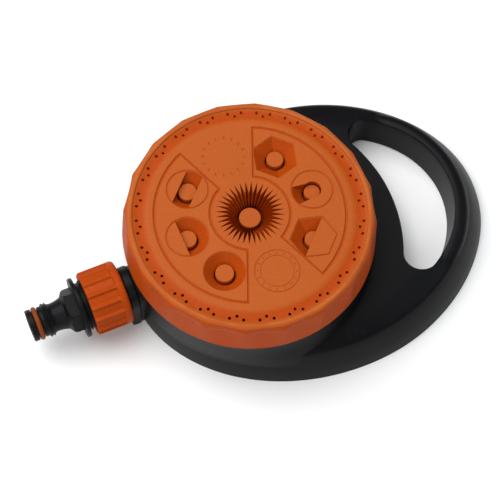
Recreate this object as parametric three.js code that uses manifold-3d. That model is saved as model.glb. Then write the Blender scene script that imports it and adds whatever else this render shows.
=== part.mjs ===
// Turret sprinkler on a low base with a carrying handle. Millimetres, +Z up.
// The origin is on the ground under the turret's axis: the inlet points along -X, the handle
// along +X. Each mesh is one moulding, seal, spring or screw of the real assembly.

import * as THREE from 'three';
import { mergeVertices } from 'three/addons/utils/BufferGeometryUtils.js';
import Module from 'manifold-3d';

const wasm = await Module();
wasm.setup();

const RAD = Math.PI / 180;
const GAP = 0.3; // clearance between neighbouring pieces
const CUT = 1; // how far a cutting shape runs past the face that it opens

// Turret
const FACE_Z = 59.5;
const RIM_Z = 60.2;
const FACE_UNDERSIDE_Z = 55;
const SKIRT_Z = 39.6;
const SKIRT_RADIUS = 63.2;
const SHOULDER_Z = 54.5;
const TROUGH_Z = 58.7;
const CHAMBER = { radius: 58.4, low: 46, hem: 60.4 };
const CAP_SIDES = 60;
const SCALLOPS = 20;
const SCALLOP_DEPTH = 1.6;
const SPRAY_RADIUS = 54;
const SPRAY_GROUPS = 24;
const SPRAY_HOLE = 0.6;
const STATION_RADIUS = 33.1;
const STATION_STEP = 45;
const NOZZLE_DEPTH = 4;
const NOZZLE_MOUTH = 10.3;
const NOZZLE_THROAT = 5.7;
const HEXAGON_MOUTH = 11.8;
const PIN_RADIUS = 4.6;
const PIN_TOP_Z = 56.8;
const PIN_CLEARANCE = 0.5;
const FLOWER_PETALS = 36;
const FLOWER_TIP = 17.1;
const FLOWER_NOTCH = 10.8;
const FLOWER_THROAT = 7;
const FLOWER_FLOOR_Z = 51.5;
const CENTRE_PIN_RADIUS = 5.4;
const CENTRE_PIN_TOP_Z = 54.1;

// Core plate under the turret's face, and the pivot that holds the turret down
const CORE_Z = 41.3;
const CORE_THICKNESS = 2.5;
const CORE_RADIUS = 60;
const RIB_TOP_Z = FACE_UNDERSIDE_Z - GAP;
const RIB_THICKNESS = 1.6;
const INNER_RING = 19;
const OUTER_RING = 47.6;
const PORT_RADIUS = 24;
const PORT_HOLE = 3.5;
const STEM_RADIUS = 6.3;
const STEM_Z = 17;
const SCREW_SHANK = 1.5;

// Base
const WALL = 2.2;
const BASE_SIDES = 56;
const POT_RADIUS = 60.5;
const POT_BORE = 58;
const DECK_Z = 38;
const DECK_THICKNESS = 3;
// Outline of the base at each height: its reach toward the inlet and the handle, and its half width
const BASE_RINGS = [
  { z: 0, inlet: 62.3, handle: 129.3, side: 75.5 },
  { z: 7, inlet: 62, handle: 127.2, side: 73.7 },
  { z: 14, inlet: 61.6, handle: 122.8, side: 70.9 },
  { z: 19.5, inlet: 61.2, handle: 117.2, side: 67.6 },
  { z: 22.6, inlet: 60.9, handle: 112.6, side: 64.1 },
  { z: 23.6, inlet: 60.5, handle: 108.5, side: 61.1 },
];
const HANDLE_TURN = -1.8; // degrees from +X to the middle of the handle
const GRIP = {
  inner: 80.5, // radius about the turret's axis
  centre: 51.8, // middle of the outer edge's ellipse
  reach: 58.2,
  side: 51.8,
  endX: 80.6, // middle of each rounded end
  endY: 36.1,
  endRadius: 7.8,
  endTurn: 58.6, // direction in which a rounded end meets the outer edge
  ellipseTurn: 55.6, // the same meeting point as the ellipse's own angle
};
const COVER_THICKNESS = 3;
const COVER_SCREW_RADIUS = 48;
const COVER_SCREWS = 4;
const HUB_RADIUS = 10.5;
const HUB_Z = 31;
const DETENT_RADIUS = 38;
const DETENT_PIN = 2.5;
const DIMPLE_Z = 39.5; // middle of the ball that leaves each dimple under the core plate
const SCREW_PILOT = 1.7;
const PILOT_TOP = 16;

// Seals, washers and springs inside: outer radius, bore, lowest and highest point
const PORT_SEAL = { outer: 6.9, bore: 4.6, low: 37.2, high: 41 };
const DUCT_SEAL = { outer: 6.9, bore: 4.9, low: 32.6, high: 33.6 };
const SPRING_SEAT = { outer: 10, bore: 6.6, low: 29.9, high: 30.7 };
const PIVOT_WASHER = { outer: 10.5, bore: 1.8, low: 15.5, high: 16.7 };
const HOSE_WASHER = { outer: 12.4, bore: 7, low: 74.8, high: 77.2 };
const PIVOT_SPRING = { radius: 8, wire: 0.7, turns: 4, low: 17, high: 29.6 };
const DETENT_SPRING = { radius: 1.9, wire: 0.35, turns: 4, low: 24.3, high: 31.2 };
const WAVE_WASHER = { outer: 6.8, bore: 5.5, middle: 36.05, wave: 0.5, half: 0.15 };
const DETENT = { low: 31.5, ballZ: 38.5 };

// Inlet, along -X
const INLET_Z = 22.8;
const NUT_START = 68.2;
const NUT_END = 87.35;
const NUT_RADIUS = 16.4;
const NUT_FLUTES = 15;
const NUT_SIDES = 60;
const HEX_ACROSS_FLATS = 20;
const TIP_END = 117.8;
const DUCT_BORE = 5.5;
const FILTER = { radius: 12.4, low: 77.5, high: 78.5, hole: 1.2, ring: 5 };
const RING_CENTRE = 113.4;
const RING_RADIUS = 7.35;
const RING_WIRE = 1.3;

const orange = { color: 0xc4602c, roughness: 0.5, metalness: 0 };
const black = { color: 0x1c1c1f, roughness: 0.45, metalness: 0 };
const rubber = { color: 0x2b2b2b, roughness: 0.8, metalness: 0 };
const steel = { color: 0xb8babd, roughness: 0.35, metalness: 1 };

// Turns a closed geometry into a solid that can be cut and joined.
function solid(geometry) {
  geometry.deleteAttribute('normal');
  geometry.deleteAttribute('uv');
  const merged = mergeVertices(geometry, 1e-4);
  const corners = merged.index.array;
  const triVerts = [];
  for (let i = 0; i < corners.length; i += 3) {
    const [a, b, c] = [corners[i], corners[i + 1], corners[i + 2]];
    if (a !== b && b !== c && c !== a) {
      triVerts.push(a, b, c);
    }
  }
  const build = (triangles) => new wasm.Manifold(new wasm.Mesh({
    numProp: 3,
    vertProperties: new Float32Array(merged.attributes.position.array),
    triVerts: new Uint32Array(triangles),
  }));
  const shape = build(triVerts);
  return shape.volume() < 0 ? build(triVerts.reverse()) : shape;
}

function geometryOf(shape) {
  const mesh = shape.getMesh();
  const geometry = new THREE.BufferGeometry();
  geometry.setAttribute('position', new THREE.BufferAttribute(mesh.vertProperties, 3));
  geometry.setIndex(new THREE.BufferAttribute(mesh.triVerts, 1));
  geometry.computeVertexNormals();
  return geometry;
}

function piece(name, shape, look) {
  const mesh = new THREE.Mesh(geometryOf(shape), new THREE.MeshStandardMaterial(look));
  mesh.name = name;
  return mesh;
}

const joined = (shapes) => shapes.reduce((whole, shape) => whole.add(shape));

// A profile of [radius, height] pairs turned about Z; shift may pull a vertex in or out.
function turned(profile, sides, shift = () => 0) {
  const points = profile.map(([radius, height]) => new THREE.Vector2(radius, height));
  const geometry = new THREE.LatheGeometry(points, sides);
  const position = geometry.attributes.position;
  for (let i = 0; i < position.count; i++) {
    const x = position.getX(i);
    const y = -position.getZ(i);
    const z = position.getY(i);
    const radius = Math.hypot(x, y);
    const factor = radius > 0 ? 1 + shift(radius, z, Math.atan2(y, x)) / radius : 1;
    position.setXYZ(i, x * factor, y * factor, z);
  }
  return solid(geometry);
}

function cylinder(radius, low, high, sides = 32, x = 0, y = 0) {
  const geometry = new THREE.CylinderGeometry(radius, radius, high - low, sides);
  geometry.rotateX(90 * RAD);
  geometry.translate(x, y, (low + high) / 2);
  return solid(geometry);
}

function tube(outer, inner, low, high, sides) {
  return turned([[inner, low], [outer, low], [outer, high], [inner, high], [inner, low]], sides);
}

const ringOf = ({ outer, bore, low, high }) => tube(outer, bore, low, high, 32);

function block(lengthX, lengthY, lengthZ, x, y, z) {
  const geometry = new THREE.BoxGeometry(lengthX, lengthY, lengthZ);
  geometry.translate(x, y, z);
  return solid(geometry);
}

// The same block at several angles about Z.
function spokes(count, turn, makeBlock) {
  return joined(Array.from({ length: count }, (_, i) => makeBlock().rotate([0, 0, turn + i * 360 / count])));
}

function around(count, radius, turn, make) {
  return joined(Array.from({ length: count }, (_, i) => {
    const angle = (turn + i * 360 / count) * RAD;
    return make(radius * Math.cos(angle), radius * Math.sin(angle));
  }));
}

class Helix extends THREE.Curve {
  constructor(radius, turns, low, high) {
    super();
    Object.assign(this, { radius, turns, low, high });
  }

  getPoint(t, target = new THREE.Vector3()) {
    const angle = t * this.turns * 2 * Math.PI;
    const height = THREE.MathUtils.lerp(this.low, this.high, t);
    return target.set(this.radius * Math.cos(angle), this.radius * Math.sin(angle), height);
  }
}

// A coil spring that fills the height from low to high.
function spring({ radius, wire, turns, low, high }) {
  const section = new THREE.Shape();
  section.absarc(0, 0, wire, 0, 2 * Math.PI, false);
  return solid(new THREE.ExtrudeGeometry(section, {
    curveSegments: 3,
    steps: Math.round(turns * 12),
    bevelEnabled: false,
    extrudePath: new Helix(radius, turns, low + wire, high - wire),
  }));
}

// ---------------------------------------------------------------- base

// Rings of the base outline joined into one solid.
function baseForm(rings) {
  const top = rings.length - 1;
  const profile = rings.map((_, i) => new THREE.Vector2(1, i));
  const closed = [new THREE.Vector2(0, 0), ...profile, new THREE.Vector2(0, top)];
  const geometry = new THREE.LatheGeometry(closed, BASE_SIDES);
  const position = geometry.attributes.position;
  for (let i = 0; i < position.count; i++) {
    const ring = rings[Math.round(position.getY(i))];
    const middle = (ring.handle - ring.inlet) / 2;
    const reach = (ring.handle + ring.inlet) / 2;
    position.setXYZ(i, middle + reach * position.getX(i), ring.side * position.getZ(i), ring.z);
  }
  return solid(geometry).rotate([0, 0, HANDLE_TURN]);
}

// The crescent that the fingers go through, grown outward by the wall round it.
function gripForm(grow, low, high) {
  const turn = Math.atan2(GRIP.endY, GRIP.endX);
  const endRadius = GRIP.endRadius + grow;
  const ellipseTurn = GRIP.ellipseTurn * RAD;
  const shape = new THREE.Shape();
  shape.absarc(0, 0, GRIP.inner - grow, turn, -turn, true);
  shape.absarc(GRIP.endX, -GRIP.endY, endRadius, Math.PI - turn, 2 * Math.PI - GRIP.endTurn * RAD, false);
  shape.absellipse(GRIP.centre, 0, GRIP.reach + grow, GRIP.side + grow, -ellipseTurn, ellipseTurn, false, 0);
  shape.absarc(GRIP.endX, GRIP.endY, endRadius, GRIP.endTurn * RAD, Math.PI + turn, false);
  shape.closePath();
  const size = { depth: high - low, curveSegments: 14, bevelEnabled: false };
  const geometry = new THREE.ExtrudeGeometry(shape, size);
  geometry.translate(0, 0, low);
  return solid(geometry).rotate([0, 0, HANDLE_TURN]);
}

// The arch on the front of the base that the inlet pipe comes out of.
function inletArch() {
  const radius = 11.8;
  const foot = 11;
  const front = NUT_START - GAP;
  const back = 56;
  const shape = new THREE.Shape();
  shape.moveTo(foot, 0);
  shape.lineTo(radius, INLET_Z);
  shape.absarc(0, INLET_Z, radius, 0, Math.PI, false);
  shape.lineTo(-foot, 0);
  shape.closePath();
  const geometry = new THREE.ExtrudeGeometry(shape, {
    depth: front - back,
    curveSegments: 16,
    bevelEnabled: false,
  });
  const [x, y, z] = [new THREE.Vector3(1, 0, 0), new THREE.Vector3(0, 1, 0), new THREE.Vector3(0, 0, 1)];
  geometry.applyMatrix4(new THREE.Matrix4().makeBasis(y, z, x));
  geometry.translate(-front, 0, 0);
  return solid(geometry);
}

function alongInlet(shape) {
  return shape.rotate([0, -90, 0]).translate([0, 0, INLET_Z]);
}

const coverScrews = (make) => around(COVER_SCREWS, COVER_SCREW_RADIUS, 45, make);
const portBoss = { radius: 10, bore: 7.2, low: 30.8, ledgeLow: 33.9, ledgeHigh: 34.9, ledgeBore: 5.2 };
const detentBoss = { radius: 5, bore: DETENT_PIN + GAP, low: 22, floor: 24 };
const screwPost = 4;
const ductOuter = 9;

function baseShell() {
  const inner = BASE_RINGS.map((ring) => ({
    z: ring.z - WALL,
    inlet: ring.inlet - WALL,
    handle: ring.handle - WALL,
    side: ring.side - WALL,
  }));
  const bosses = joined([
    cylinder(HUB_RADIUS, HUB_Z, DECK_Z, 32),
    cylinder(portBoss.radius, portBoss.low, DECK_Z, 28, -PORT_RADIUS),
    cylinder(detentBoss.radius, detentBoss.low, DECK_Z, 20, 0, DETENT_RADIUS),
    coverScrews((x, y) => cylinder(screwPost, COVER_THICKNESS + GAP, DECK_Z, 12, x, y)),
  ]);
  const hollow = baseForm(inner)
    .subtract(cylinder(POT_RADIUS, -CUT - WALL, DECK_Z, BASE_SIDES))
    .add(cylinder(POT_BORE, -CUT, DECK_Z - DECK_THICKNESS, BASE_SIDES))
    .subtract(bosses)
    .subtract(gripForm(WALL, -CUT - WALL, DECK_Z));
  const top = DECK_Z + CUT;
  const openings = joined([
    gripForm(0, -CUT, DECK_Z),
    alongInlet(cylinder(ductOuter + GAP, POT_BORE - 5, NUT_START + CUT, 32)),
    cylinder(STEM_RADIUS + GAP, HUB_Z - CUT, top, 32),
    cylinder(portBoss.bore, portBoss.low - CUT, portBoss.ledgeLow, 28, -PORT_RADIUS),
    cylinder(portBoss.ledgeBore, portBoss.ledgeLow - CUT, top, 28, -PORT_RADIUS),
    cylinder(portBoss.bore, portBoss.ledgeHigh, top, 28, -PORT_RADIUS),
    cylinder(detentBoss.bore, detentBoss.floor, top, 20, 0, DETENT_RADIUS),
    coverScrews((x, y) => cylinder(SCREW_PILOT, COVER_THICKNESS - CUT, PILOT_TOP, 10, x, y)),
  ]);
  return baseForm(BASE_RINGS)
    .add(cylinder(POT_RADIUS, 0, DECK_Z, BASE_SIDES))
    .add(inletArch())
    .subtract(hollow)
    .subtract(openings);
}

const coverScrewSize = { head: 3, low: GAP, seat: 1.9, shank: 1.35, top: 14, crossLength: 4, crossWidth: 0.7 };

function bottomCover() {
  const { head, seat } = coverScrewSize;
  return cylinder(POT_BORE - GAP, 0, COVER_THICKNESS, BASE_SIDES)
    .subtract(coverScrews((x, y) => cylinder(SCREW_PILOT, -CUT, COVER_THICKNESS + CUT, 10, x, y)))
    .subtract(coverScrews((x, y) => cylinder(head + GAP, -CUT, seat + GAP, 16, x, y)));
}

// A cross recess centred on the underside of a screw's head.
function cross(length, width, depth, z) {
  return block(length, width, 2 * depth, 0, 0, z).add(block(width, length, 2 * depth, 0, 0, z));
}

function coverScrew() {
  const { head, low, seat, shank, top, crossLength, crossWidth } = coverScrewSize;
  return cylinder(head, low, seat, 16)
    .add(cylinder(shank, seat - CUT, top, 10))
    .subtract(cross(crossLength, crossWidth, 0.5, low));
}

// Spring washer with three waves that lifts the port seal.
function waveWasher({ outer, bore, middle, wave, half }) {
  const corners = [[bore, -half], [outer, -half], [outer, half], [bore, half], [bore, -half]];
  const geometry = new THREE.LatheGeometry(corners.map(([r, z]) => new THREE.Vector2(r, z)), 36);
  const position = geometry.attributes.position;
  for (let i = 0; i < position.count; i++) {
    const [x, y, z] = [position.getX(i), position.getZ(i), position.getY(i)];
    position.setXYZ(i, x, y, middle + z + wave * Math.sin(3 * Math.atan2(y, x)));
  }
  return solid(geometry).translate([-PORT_RADIUS, 0, 0]);
}

// ---------------------------------------------------------------- turret

// How far the cap's side is pulled in: full depth at the shoulder, none at rim and skirt.
function scallop(radius, z, angle) {
  if (radius <= CHAMBER.hem || z < CHAMBER.low) {
    return 0;
  }
  const fade = z > SHOULDER_Z ? (RIM_Z - z) / (RIM_Z - SHOULDER_Z) : (z - SKIRT_Z) / (SHOULDER_Z - SKIRT_Z);
  return -SCALLOP_DEPTH * fade * (0.5 + 0.5 * Math.cos(SCALLOPS * angle));
}

// Chamber and hem, then the side up to the rolled rim, and the trough round the face.
function capForm() {
  return turned([
    [0, FACE_UNDERSIDE_Z], [CHAMBER.radius, FACE_UNDERSIDE_Z], [CHAMBER.radius, CHAMBER.low],
    [CHAMBER.hem, 44.5], [CHAMBER.hem, SKIRT_Z],
    [SKIRT_RADIUS, SKIRT_Z], [62.8, 48], [62.3, SHOULDER_Z], [61.3, 57.8], [CHAMBER.hem - 0.4, 59.4],
    [58.6, RIM_Z], [57.2, FACE_Z], [55.6, TROUGH_Z], [52.4, TROUGH_Z], [50.2, FACE_Z], [0, FACE_Z],
  ], CAP_SIDES, scallop);
}

// A funnel with V-shaped flutes: petals reach out along the face and close in on the throat.
function flower() {
  const form = turned([
    [0, FLOWER_FLOOR_Z - 4], [FLOWER_THROAT, FLOWER_FLOOR_Z - 4], [FLOWER_THROAT, FLOWER_FLOOR_Z],
    [FLOWER_NOTCH, FACE_Z], [FLOWER_NOTCH, FACE_Z + CUT], [0, FACE_Z + CUT],
  ], 2 * FLOWER_PETALS, (radius, z, angle) => {
    const tip = Math.round(angle * FLOWER_PETALS / Math.PI) % 2 === 0;
    return radius > FLOWER_THROAT + CUT && tip ? FLOWER_TIP - FLOWER_NOTCH : 0;
  });
  return form.rotate([0, 0, 5]);
}

// A sunk cone under a round or six-sided mouth, with a throat that opens into the chamber.
function nozzleCone(mouth, sides) {
  const floor = FACE_Z - NOZZLE_DEPTH;
  const slope = (mouth - NOZZLE_THROAT) / NOZZLE_DEPTH;
  const geometry = new THREE.CylinderGeometry(mouth + slope * CUT, NOZZLE_THROAT, NOZZLE_DEPTH + CUT, sides);
  geometry.rotateX(90 * RAD);
  geometry.translate(0, 0, floor + (NOZZLE_DEPTH + CUT) / 2);
  return solid(geometry).add(cylinder(NOZZLE_THROAT, FACE_UNDERSIDE_Z - CUT, floor + CUT, sides));
}

// The opening of each spray pattern, drawn with +X pointing away from the turret's axis.
const wide = 40;
const wedgeWidth = 9.2;
const halfCircleEdge = 2.6;
const stripWidth = 8.6;
const pinRoom = () => cylinder(
  PIN_RADIUS + PIN_CLEARANCE, FACE_UNDERSIDE_Z - CUT, PIN_TOP_Z + PIN_CLEARANCE, 16);
const roundCone = () => nozzleCone(NOZZLE_MOUTH, 20);
const hexagonCone = () => nozzleCone(HEXAGON_MOUTH, 6).rotate([0, 0, 30]);
// Keeps what lies on the turret axis's side of a straight edge.
const upTo = (edge) => block(wide, wide, wide, edge - wide / 2, 0, FACE_Z);
const nozzleShapes = {
  hexagon: hexagonCone,
  wedge: () => roundCone().intersect(block(wide, wedgeWidth, wide, -wide / 2, 0, FACE_Z)),
  halfHexagon: () => hexagonCone().intersect(upTo(0)),
  circle: roundCone,
  halfCircle: () => roundCone().intersect(upTo(halfCircleEdge)),
  strip: () => roundCone().intersect(block(stripWidth, wide, wide, 0, 0, FACE_Z)),
};
const STATIONS = { hexagon: 45, wedge: 0, halfHexagon: -45, circle: -135, halfCircle: 180, strip: 135 };

// Groups of three fine holes: one, and two a little further out on either side of it.
function sprayHoles() {
  const hole = (x, y) => cylinder(SPRAY_HOLE, FACE_UNDERSIDE_Z - CUT, RIM_Z, 4, x, y);
  const [outer, aside] = [SPRAY_RADIUS + 1.6, 3.5];
  return joined([
    around(SPRAY_GROUPS, SPRAY_RADIUS, 0, hole),
    around(SPRAY_GROUPS, outer, aside, hole),
    around(SPRAY_GROUPS, outer, -aside, hole),
  ]);
}

function turretCap() {
  const nozzles = Object.entries(STATIONS).map(([name, angle]) => nozzleShapes[name]()
    .add(pinRoom()).translate([STATION_RADIUS, 0, 0]).rotate([0, 0, angle]));
  return capForm()
    .add(cylinder(INNER_RING - RIB_THICKNESS - GAP, FLOWER_FLOOR_Z - 2, FACE_Z - CUT, 30))
    .subtract(flower())
    .subtract(joined(nozzles))
    .subtract(sprayHoles());
}

const stemBoreTop = 36;
const pivotScrewSize = { head: 3.5, low: 12.5, seat: 15.2, top: 34, crossLength: 5, crossWidth: 0.9 };

function corePlate() {
  const top = CORE_Z + CORE_THICKNESS;
  const ribHeight = RIB_TOP_Z - top + CUT;
  const ribMiddle = RIB_TOP_Z - ribHeight / 2;
  const ribInner = INNER_RING - RIB_THICKNESS / 2;
  const ribOuter = OUTER_RING - RIB_THICKNESS / 2;
  const ribLength = ribOuter - ribInner;
  const notch = (y) => block(6, 5, 8, 0, y, top + 5); // lets water through a ring wall
  const walls = tube(INNER_RING, INNER_RING - RIB_THICKNESS, top - CUT, RIB_TOP_Z, 32)
    .add(tube(OUTER_RING, OUTER_RING - RIB_THICKNESS, top - CUT, RIB_TOP_Z, 40))
    .add(spokes(8, STATION_STEP / 2, () => block(
      ribLength, RIB_THICKNESS, ribHeight, (ribInner + ribOuter) / 2, 0, ribMiddle)))
    .subtract(notch(ribInner))
    .subtract(notch(-ribOuter));
  const pin = () => cylinder(PIN_RADIUS, top - CUT, PIN_TOP_Z, 14, STATION_RADIUS);
  const pins = Object.values(STATIONS).map((angle) => pin().rotate([0, 0, angle]));
  const screwBore = SCREW_SHANK + GAP;
  return cylinder(CORE_RADIUS, CORE_Z, top, CAP_SIDES)
    .add(walls)
    .add(joined(pins))
    .add(cylinder(CENTRE_PIN_RADIUS, top - CUT, CENTRE_PIN_TOP_Z, 20))
    .add(cylinder(STEM_RADIUS, STEM_Z, CORE_Z + CUT, 24))
    .subtract(around(8, PORT_RADIUS, 0, (x, y) => cylinder(PORT_HOLE, CORE_Z - CUT, top + CUT, 12, x, y)))
    .subtract(around(8, DETENT_RADIUS, 90, dimple))
    .subtract(cylinder(screwBore, STEM_Z - CUT, stemBoreTop, 16));
}

function ball(radius, x, y, z) {
  const geometry = new THREE.SphereGeometry(radius, 10, 6);
  geometry.rotateX(90 * RAD);
  geometry.translate(x, y, z);
  return solid(geometry);
}

const dimple = (x, y) => ball(DETENT_PIN + GAP, x, y, DIMPLE_Z);

// The click pin, drawn pressed down clear of the plate.
function detentPlunger() {
  return cylinder(DETENT_PIN, DETENT.low, DETENT.ballZ, 16, 0, DETENT_RADIUS)
    .add(ball(DETENT_PIN, 0, DETENT_RADIUS, DETENT.ballZ));
}

function pivotScrew() {
  const { head, low, seat, top, crossLength, crossWidth } = pivotScrewSize;
  return cylinder(head, low, seat, 20)
    .add(cylinder(SCREW_SHANK, seat - CUT, top, 12))
    .subtract(cross(crossLength, crossWidth, 1, low));
}

// ---------------------------------------------------------------- inlet
// Drawn with +Z pointing out along the inlet and +X pointing up.

// The pipe from the nut's flange to the riser under the outlet port.
function inletDuct() {
  const riser = { outer: 6.9, bore: 4.8, top: 9.6 };
  const [closedEnd, shoulder, flangeEnd, wide] = [17, 56, 74.5, 6.5];
  const body = turned([
    [0, closedEnd], [7.5, closedEnd], [7.5, shoulder], [ductOuter, shoulder], [ductOuter, 71.5],
    [12.6, 71.5], [12.6, flangeEnd], [0, flangeEnd],
  ], 32);
  const bore = turned([
    [0, closedEnd + 2.5], [DUCT_BORE, closedEnd + 2.5], [DUCT_BORE, shoulder + CUT], [wide, shoulder + CUT],
    [wide, flangeEnd + CUT], [0, flangeEnd + CUT],
  ], 28);
  const upright = (shape) => shape.rotate([0, 90, 0]).translate([0, 0, PORT_RADIUS]);
  return body
    .add(upright(cylinder(riser.outer, 0, riser.top, 28)))
    .subtract(bore)
    .subtract(upright(cylinder(riser.bore, 0, riser.top + CUT, 24)));
}

function swivelNut() {
  const [fluteEnd, fluteDepth, collarBore, bore, step] = [71.8, 1.1, 9.6, 13.2, 71.2];
  const flute = (radius, z, angle) => {
    const cut = radius > NUT_RADIUS - 1.2 && z > fluteEnd;
    return cut ? -fluteDepth * (0.5 + 0.5 * Math.cos(NUT_FLUTES * angle)) : 0;
  };
  return turned([
    [collarBore, NUT_START], [14.6, NUT_START], [15.9, NUT_START + 0.6], [NUT_RADIUS, NUT_START + 1.8],
    [NUT_RADIUS, fluteEnd], [NUT_RADIUS, fluteEnd + 0.4], [NUT_RADIUS, NUT_END - 0.6],
    [NUT_RADIUS - 0.6, NUT_END], [bore, NUT_END], [bore, step], [collarBore, step], [collarBore, NUT_START],
  ], NUT_SIDES, flute);
}

// Thread end, flange, spanner hexagon, waist, locking ridge, seal groove and tip.
function connectorNipple() {
  const form = turned([
    [4.2, 78.8], [12, 78.8], [12.6, 79.4], [12.6, 90.5], [15.5, 90.5], [15.5, 92.6], [9.7, 92.6],
    [9.7, 97], [8.3, 99.5], [7.4, 102.5], [7.15, 105.8], [8.5, 107], [8.6, 109.4], [7.7, 109.8],
    [7.7, 111.8], [5.7, 111.8], [5.7, 115], [8.1, 115], [8.1, 117.1], [7.4, TIP_END],
    [4.2, TIP_END], [4.2, 78.8],
  ], 26);
  const hexRadius = HEX_ACROSS_FLATS / 2 / Math.cos(30 * RAD);
  const hexTilt = 9;
  const hexagon = cylinder(hexRadius, 92, 97.2, 6).rotate([0, 0, 30 - hexTilt]);
  return form.add(hexagon.subtract(cylinder(9, 91, 98, 24)));
}

function connectorRing() {
  const geometry = new THREE.TorusGeometry(RING_RADIUS, RING_WIRE, 8, 26);
  geometry.translate(0, 0, RING_CENTRE);
  return solid(geometry);
}

function filterScreen() {
  const { radius, low, high, hole, ring } = FILTER;
  const opening = (x, y) => cylinder(hole, low - CUT, high + CUT, 6, x, y);
  return cylinder(radius, low, high, 32)
    .subtract(around(8, ring, 0, opening))
    .subtract(opening(0, 0));
}

// ---------------------------------------------------------------- assembly

const sprinkler = new THREE.Group();

const base = new THREE.Group();
base.add(
  piece('base_shell', baseShell(), black),
  piece('bottom_cover', bottomCover(), black),
  piece('port_wave_washer', waveWasher(WAVE_WASHER), steel),
  piece('port_seal', ringOf(PORT_SEAL).translate([-PORT_RADIUS, 0, 0]), rubber),
  piece('duct_seal', ringOf(DUCT_SEAL).translate([-PORT_RADIUS, 0, 0]), rubber),
  piece('detent_spring', spring(DETENT_SPRING).translate([0, DETENT_RADIUS, 0]), steel),
  piece('detent_plunger', detentPlunger(), black),
);
for (let i = 0; i < COVER_SCREWS; i++) {
  const angle = (45 + i * 360 / COVER_SCREWS) * RAD;
  const screw = piece(`cover_screw_${i + 1}`, coverScrew(), steel);
  screw.position.set(COVER_SCREW_RADIUS * Math.cos(angle), COVER_SCREW_RADIUS * Math.sin(angle), 0);
  base.add(screw);
}

const turret = new THREE.Group();
turret.add(
  piece('turret_cap', turretCap(), orange),
  piece('core_plate', corePlate(), orange),
  piece('spring_seat', ringOf(SPRING_SEAT), steel),
  piece('pivot_spring', spring(PIVOT_SPRING), steel),
  piece('pivot_washer', ringOf(PIVOT_WASHER), steel),
  piece('pivot_screw', pivotScrew(), steel),
);

const inlet = new THREE.Group();
inlet.position.z = INLET_Z;
inlet.rotation.y = -90 * RAD;
inlet.add(
  piece('inlet_duct', inletDuct(), black),
  piece('swivel_nut', swivelNut(), orange),
  piece('hose_washer', ringOf(HOSE_WASHER), rubber),
  piece('filter_screen', filterScreen(), steel),
  piece('connector_nipple', connectorNipple(), black),
  piece('connector_ring', connectorRing(), orange),
);

sprinkler.add(base, turret, inlet);

export default sprinkler;
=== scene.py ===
import math

import bmesh
import bpy
from mathutils import Matrix, Vector


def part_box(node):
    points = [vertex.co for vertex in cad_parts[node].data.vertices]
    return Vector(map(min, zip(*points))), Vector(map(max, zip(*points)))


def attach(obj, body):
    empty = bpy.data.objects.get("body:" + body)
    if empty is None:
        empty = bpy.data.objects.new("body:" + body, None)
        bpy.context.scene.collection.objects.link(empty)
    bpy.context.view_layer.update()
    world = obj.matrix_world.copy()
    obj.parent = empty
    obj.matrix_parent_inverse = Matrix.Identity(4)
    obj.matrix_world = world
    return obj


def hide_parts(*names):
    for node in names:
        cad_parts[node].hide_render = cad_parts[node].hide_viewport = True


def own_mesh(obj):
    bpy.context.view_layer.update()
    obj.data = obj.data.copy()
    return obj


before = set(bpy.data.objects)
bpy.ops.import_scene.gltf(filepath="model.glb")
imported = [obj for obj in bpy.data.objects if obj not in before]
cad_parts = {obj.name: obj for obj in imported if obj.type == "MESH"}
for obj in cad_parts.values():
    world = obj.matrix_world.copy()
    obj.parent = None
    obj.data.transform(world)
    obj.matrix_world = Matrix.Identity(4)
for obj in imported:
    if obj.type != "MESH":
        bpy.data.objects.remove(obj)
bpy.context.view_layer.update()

# Shapes are drawn in millimetres, +Z up along the turret's axis, and turned into metres when done.
MM = 0.001


def box_of(node):
    low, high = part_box(node)
    return low / MM, high / MM


# Driving sizes, read from the frame
cap_low, cap_high = box_of("turret_cap")
core_low, core_high = box_of("core_plate")
shell_low, shell_high = box_of("base_shell")
nut_low, nut_high = box_of("swivel_nut")
nipple_low, nipple_high = box_of("connector_nipple")
ring_low, ring_high = box_of("connector_ring")
cover_low, cover_high = box_of("bottom_cover")
screw_low, screw_high = box_of("cover_screw_1")
spring_low, spring_high = box_of("detent_spring")
SHY = 0.02  # visible pieces stay this much inside the frame's outermost faces

# Turret
RIM_Z = cap_high.z - SHY
SKIRT_Z = cap_low.z
SKIRT_RADIUS = cap_high.x
FACE_Z = RIM_Z - 0.7
FACE_THICKNESS = 4.5
TROUGH_Z = FACE_Z - 0.8
BOSS_RADIUS = 18
SCALLOPS = 20
SCALLOP_DEPTH = 1.7
SCALLOP_TURN = 1.5  # degrees from +X to the middle of the first scallop
SCALLOP_MIDDLE_Z = 54.4
STATION_RADIUS = 33.1
NOZZLE_DEPTH = 6.2
ROUND_MOUTH = 10.3
HEXAGON_MOUTH = 11.8
THROAT = 4.4  # where the cones would end; the round room about each pin opens them wider
PIN_GAP = 0.75
NOZZLE_BOSS = 9
NOZZLE_BOSS_Z = 52.7
LIP = 0.22  # width of the softened edge round each opening
FLUTES = 36
FLUTE_TIP = 17.1
FLUTE_NOTCH = 10.8
FLUTE_THROAT = 6.35
FLUTE_THROAT_TIP = 10
FLUTE_FLOOR_Z = 53.2
FLUTE_TURN = 5
SPRAY_RADIUS = 54
SPRAY_GROUPS = 24
SPRAY_HOLE = 0.75
SPRAY_TILT = 22  # degrees outward
SPRAY_SPREAD = 3.5  # degrees from the middle hole of a group to its outer holes
SECTOR_INNER = 19.7
SECTOR_OUTER = 46.9
SECTOR_HALF_TURN = 67.5
SECTOR_INSET = 1.6

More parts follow.
